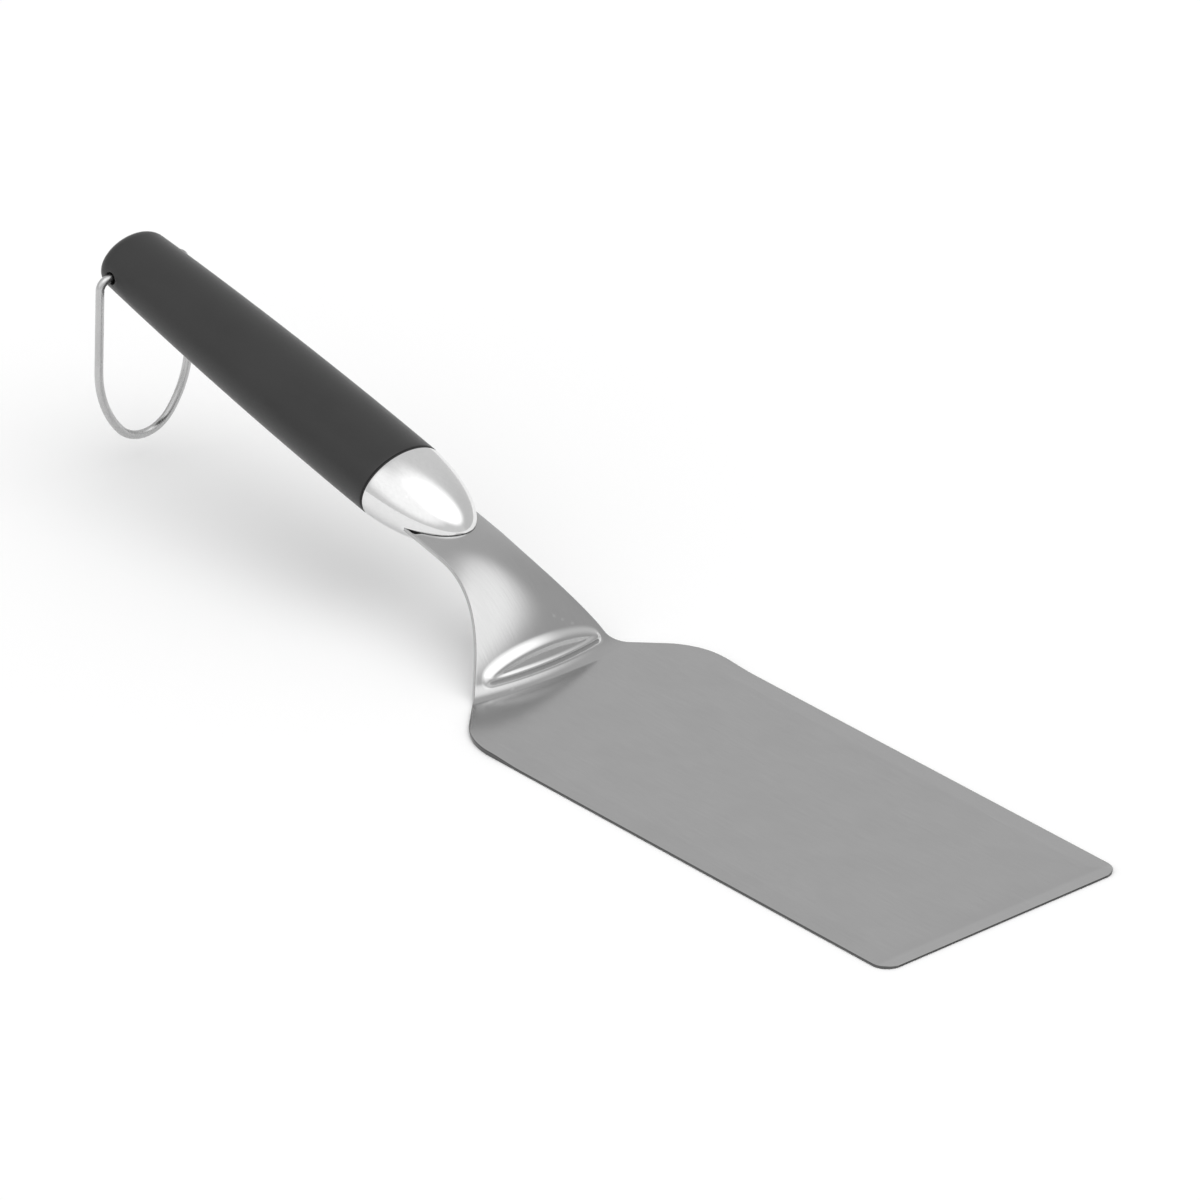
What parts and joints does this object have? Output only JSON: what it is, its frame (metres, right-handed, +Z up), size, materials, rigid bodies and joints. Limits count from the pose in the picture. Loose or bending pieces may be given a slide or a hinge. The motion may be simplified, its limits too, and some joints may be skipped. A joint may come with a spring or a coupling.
{
  "type": "griddle turner",
  "caption": "Long flat steel griddle turner with a bent neck, polished bolster, oval soft grip and a swinging wire hanging loop.",
  "frame": {"origin": "middle of the blade's flat underside, which rests on z = 0", "axes": "+X to the blade's front edge, +Y across the blade, +Z up towards the handle's side"},
  "size_m": [0.4105, 0.095, 0.0782],
  "materials": {
    "sheet_steel": "satin brushed stainless sheet",
    "polished_steel": "mirror-polished stainless shell",
    "seal_rubber": "matt black",
    "core_plastic": "moulded black",
    "pin_steel": "plain ground steel",
    "soft_grip": "matt soft-touch dark grey",
    "loop_wire": "drawn bright stainless wire"
  },
  "bodies": {
    "turner": {"turner_head": "sheet_steel", "bolster_shell": "polished_steel", "joint_ring": "seal_rubber", "core_upper": "core_plastic", "core_lower": "core_plastic", "tang_pins": "pin_steel", "grip_sleeve": "soft_grip"},
    "loop": {"hanging_loop": "loop_wire"}
  },
  "joints": [
    {"name": "loop_swing", "type": "hinge", "parent": "turner", "child": "loop", "pos_m": [-0.29899, 0, 0.06793], "axis": [0, 1, 0], "range_deg": [-60, 262]}
  ]
}
